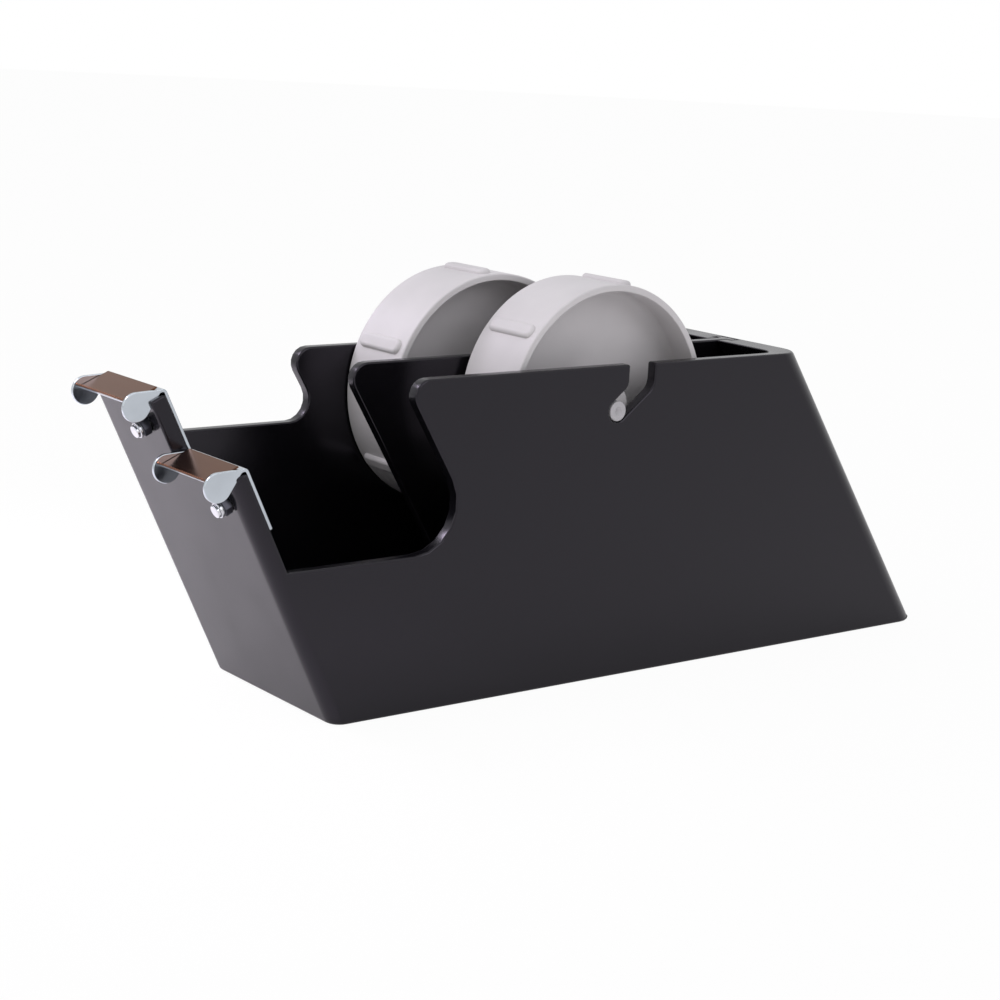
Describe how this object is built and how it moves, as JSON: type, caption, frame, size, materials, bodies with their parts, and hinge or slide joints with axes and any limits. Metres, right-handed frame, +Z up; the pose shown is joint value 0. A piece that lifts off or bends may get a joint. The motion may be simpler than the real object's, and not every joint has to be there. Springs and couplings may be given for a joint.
{
  "type": "table tape dispenser",
  "caption": "Weighted table dispenser with two staggered lanes for narrow tape rolls, each with a core drum in open slots and a bent cutter on its front tab.",
  "frame": {"origin": "middle of the base footprint, on the surface it stands on", "axes": "+Z up, -X towards the cutters at the front, -Y the near side with the lower tab"},
  "size_m": [0.2973, 0.0668, 0.1239],
  "materials": {
    "black_plastic": "satin",
    "divider_plastic": "satin",
    "weight_steel": "mill",
    "cover_plastic": "matt",
    "pad_rubber": "matt",
    "screw_steel": "bright",
    "drum_plastic": "satin",
    "axle_plastic": "satin",
    "bracket_chrome": "polished",
    "blade_steel": "tempered brown",
    "bolt_zinc": "zinc plated",
    "nut_dark": "blackened",
    "lock_ring_zinc": "zinc plated"
  },
  "bodies": {
    "body": {"housing": "black_plastic", "divider": "divider_plastic", "weight": "weight_steel", "base_cover": "cover_plastic", "anti_slip_pad": "pad_rubber", "base_screw_1": "screw_steel", "base_screw_2": "screw_steel", "base_screw_3": "screw_steel", "base_screw_4": "screw_steel", "near_bracket": "bracket_chrome", "near_blade": "blade_steel", "near_bolt": "bolt_zinc", "near_nut": "nut_dark", "near_lock_ring": "lock_ring_zinc", "far_bracket": "bracket_chrome", "far_blade": "blade_steel", "far_bolt": "bolt_zinc", "far_nut": "nut_dark", "far_lock_ring": "lock_ring_zinc"},
    "near_pin": {"near_axle": "axle_plastic"},
    "near_reel": {"near_drum": "drum_plastic"},
    "far_pin": {"far_axle": "axle_plastic"},
    "far_reel": {"far_drum": "drum_plastic"}
  },
  "joints": [
    {"name": "near_axle_slide", "type": "slide", "parent": "body", "child": "near_pin", "axis": [0.788, 0, 0.6157], "range_m": [0, 0.012]},
    {"name": "near_drum_spin", "type": "hinge", "parent": "near_pin", "child": "near_reel", "pos_m": [-0.0235, -0.0164, 0.0846], "axis": [0, 1, 0], "continuous": true},
    {"name": "far_axle_slide", "type": "slide", "parent": "body", "child": "far_pin", "axis": [0.788, 0, 0.6157], "range_m": [0, 0.012]},
    {"name": "far_drum_spin", "type": "hinge", "parent": "far_pin", "child": "far_reel", "pos_m": [-0.0429, 0.0164, 0.0846], "axis": [0, 1, 0], "continuous": true}
  ]
}
